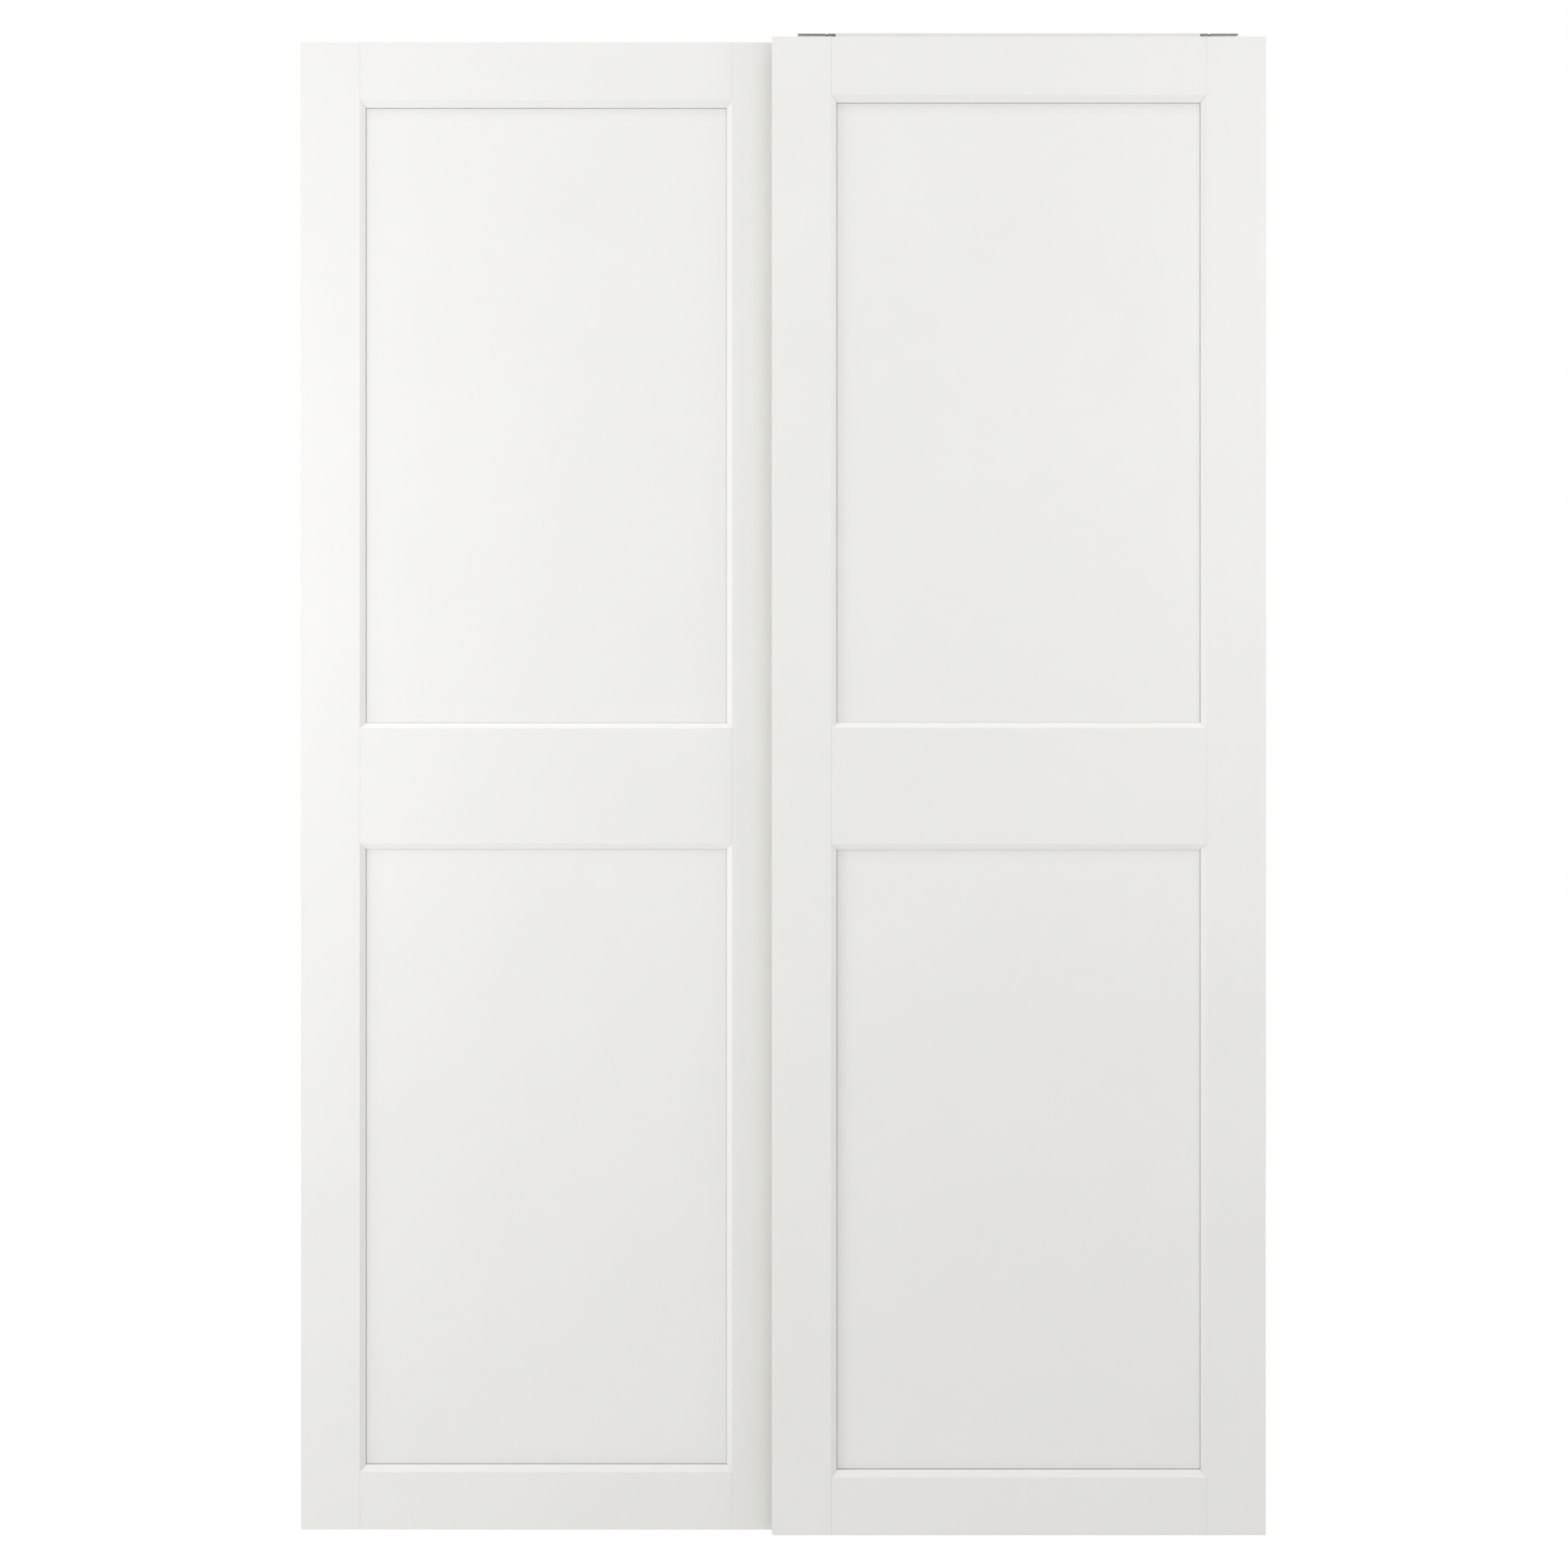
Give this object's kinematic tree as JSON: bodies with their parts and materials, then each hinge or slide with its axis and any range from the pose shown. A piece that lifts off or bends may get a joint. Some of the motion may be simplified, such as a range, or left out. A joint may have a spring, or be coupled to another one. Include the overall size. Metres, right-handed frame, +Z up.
{
  "type": "double sliding door",
  "caption": "Pair of overlapping framed sliding doors for a wardrobe front, hung on wheels from a two-lane top track and guided by a ribbed bottom rail.",
  "frame": {"origin": "middle of the whole set's box at the underside of the bottom rail", "axes": "+X along the doors to the viewer's right, +Y from the viewer towards the wardrobe, +Z up"},
  "size_m": [1.5, 0.1666, 2.3525],
  "materials": {
    "white_foil": "white satin foil over fibreboard",
    "white_panel": "white satin foil over fibreboard, very fine grain",
    "beech": "bare beech, fluted",
    "white_steel": "white powder coat, satin",
    "dark_steel": "dark passivated sheet steel, satin",
    "zinc_steel": "bright zinc plated, satin",
    "aluminium": "extruded, clear anodised, satin",
    "grey_plastic": "moulded grey, matt",
    "wheel_plastic": "moulded acetal, smooth",
    "black_rubber": "moulded black rubber, matt"
  },
  "bodies": {
    "frame": {"top_track": "aluminium", "lane_strips": "zinc_steel", "track_end_caps": "grey_plastic", "lane_stops": "grey_plastic", "stop_buffers": "black_rubber", "bottom_rail": "aluminium", "guide_ribs": "zinc_steel", "rail_end_caps": "grey_plastic"},
    "front_leaf": {"front_left_stile": "white_foil", "front_right_stile": "white_foil", "front_top_rail": "white_foil", "front_middle_rail": "white_foil", "front_bottom_rail": "white_foil", "front_upper_panel": "white_panel", "front_lower_panel": "white_panel", "front_dowels": "beech", "front_hanging_beam": "white_steel", "front_left_arm": "dark_steel", "front_right_arm": "dark_steel", "front_left_carriage": "zinc_steel", "front_right_carriage": "zinc_steel", "front_axles": "zinc_steel", "front_hanger_screws": "zinc_steel", "front_height_blocks": "zinc_steel", "front_height_screws": "zinc_steel", "front_guide_brackets": "dark_steel", "front_guide_housings": "grey_plastic", "front_guide_screws": "zinc_steel"},
    "front_wheel_1": {"front_wheel_1": "wheel_plastic"},
    "front_wheel_2": {"front_wheel_2": "wheel_plastic"},
    "front_wheel_3": {"front_wheel_3": "wheel_plastic"},
    "front_wheel_4": {"front_wheel_4": "wheel_plastic"},
    "front_left_shoe": {"front_left_shoe": "wheel_plastic"},
    "front_right_shoe": {"front_right_shoe": "wheel_plastic"},
    "rear_leaf": {"rear_left_stile": "white_foil", "rear_right_stile": "white_foil", "rear_top_rail": "white_foil", "rear_middle_rail": "white_foil", "rear_bottom_rail": "white_foil", "rear_upper_panel": "white_panel", "rear_lower_panel": "white_panel", "rear_dowels": "beech", "rear_hanging_beam": "white_steel", "rear_left_arm": "dark_steel", "rear_right_arm": "dark_steel", "rear_left_carriage": "zinc_steel", "rear_right_carriage": "zinc_steel", "rear_axles": "zinc_steel", "rear_hanger_screws": "zinc_steel", "rear_height_blocks": "zinc_steel", "rear_height_screws": "zinc_steel", "rear_guide_brackets": "dark_steel", "rear_guide_housings": "grey_plastic", "rear_guide_screws": "zinc_steel"},
    "rear_wheel_1": {"rear_wheel_1": "wheel_plastic"},
    "rear_wheel_2": {"rear_wheel_2": "wheel_plastic"},
    "rear_wheel_3": {"rear_wheel_3": "wheel_plastic"},
    "rear_wheel_4": {"rear_wheel_4": "wheel_plastic"},
    "rear_left_shoe": {"rear_left_shoe": "wheel_plastic"},
    "rear_right_shoe": {"rear_right_shoe": "wheel_plastic"}
  },
  "joints": [
    {"name": "front_door_slide", "type": "slide", "parent": "frame", "child": "front_leaf", "axis": [1, 0, 0], "range_m": [-0.735, 0]},
    {"name": "front_wheel_1_spin", "type": "hinge", "parent": "front_leaf", "child": "front_wheel_1", "pos_m": [0.0435, 0.04075, 2.3223], "axis": [0, 1, 0], "continuous": true},
    {"name": "front_wheel_2_spin", "type": "hinge", "parent": "front_leaf", "child": "front_wheel_2", "pos_m": [0.0915, 0.04075, 2.3223], "axis": [0, 1, 0], "continuous": true},
    {"name": "front_wheel_3_spin", "type": "hinge", "parent": "front_leaf", "child": "front_wheel_3", "pos_m": [0.6435, 0.04075, 2.3223], "axis": [0, 1, 0], "continuous": true},
    {"name": "front_wheel_4_spin", "type": "hinge", "parent": "front_leaf", "child": "front_wheel_4", "pos_m": [0.6915, 0.04075, 2.3223], "axis": [0, 1, 0], "continuous": true},
    {"name": "front_left_shoe_lift", "type": "slide", "parent": "front_leaf", "child": "front_left_shoe", "axis": [0, 0, 1], "range_m": [0, 0.008]},
    {"name": "front_right_shoe_lift", "type": "slide", "parent": "front_leaf", "child": "front_right_shoe", "axis": [0, 0, 1], "range_m": [0, 0.008]},
    {"name": "rear_door_slide", "type": "slide", "parent": "frame", "child": "rear_leaf", "axis": [1, 0, 0], "range_m": [0, 0.735]},
    {"name": "rear_wheel_1_spin", "type": "hinge", "parent": "rear_leaf", "child": "rear_wheel_1", "pos_m": [-0.6915, 0.01275, 2.3223], "axis": [0, 1, 0], "continuous": true},
    {"name": "rear_wheel_2_spin", "type": "hinge", "parent": "rear_leaf", "child": "rear_wheel_2", "pos_m": [-0.6435, 0.01275, 2.3223], "axis": [0, 1, 0], "continuous": true},
    {"name": "rear_wheel_3_spin", "type": "hinge", "parent": "rear_leaf", "child": "rear_wheel_3", "pos_m": [-0.0915, 0.01275, 2.3223], "axis": [0, 1, 0], "continuous": true},
    {"name": "rear_wheel_4_spin", "type": "hinge", "parent": "rear_leaf", "child": "rear_wheel_4", "pos_m": [-0.0435, 0.01275, 2.3223], "axis": [0, 1, 0], "continuous": true},
    {"name": "rear_left_shoe_lift", "type": "slide", "parent": "rear_leaf", "child": "rear_left_shoe", "axis": [0, 0, 1], "range_m": [0, 0.008]},
    {"name": "rear_right_shoe_lift", "type": "slide", "parent": "rear_leaf", "child": "rear_right_shoe", "axis": [0, 0, 1], "range_m": [0, 0.008]}
  ],
  "couplings": [
    {"joint": "front_wheel_1_spin", "follows": "front_door_slide", "rad_per_m": 90.909},
    {"joint": "front_wheel_2_spin", "follows": "front_door_slide", "rad_per_m": 90.909},
    {"joint": "front_wheel_3_spin", "follows": "front_door_slide", "rad_per_m": 90.909},
    {"joint": "front_wheel_4_spin", "follows": "front_door_slide", "rad_per_m": 90.909},
    {"joint": "rear_wheel_1_spin", "follows": "rear_door_slide", "rad_per_m": 90.909},
    {"joint": "rear_wheel_2_spin", "follows": "rear_door_slide", "rad_per_m": 90.909},
    {"joint": "rear_wheel_3_spin", "follows": "rear_door_slide", "rad_per_m": 90.909},
    {"joint": "rear_wheel_4_spin", "follows": "rear_door_slide", "rad_per_m": 90.909}
  ]
}
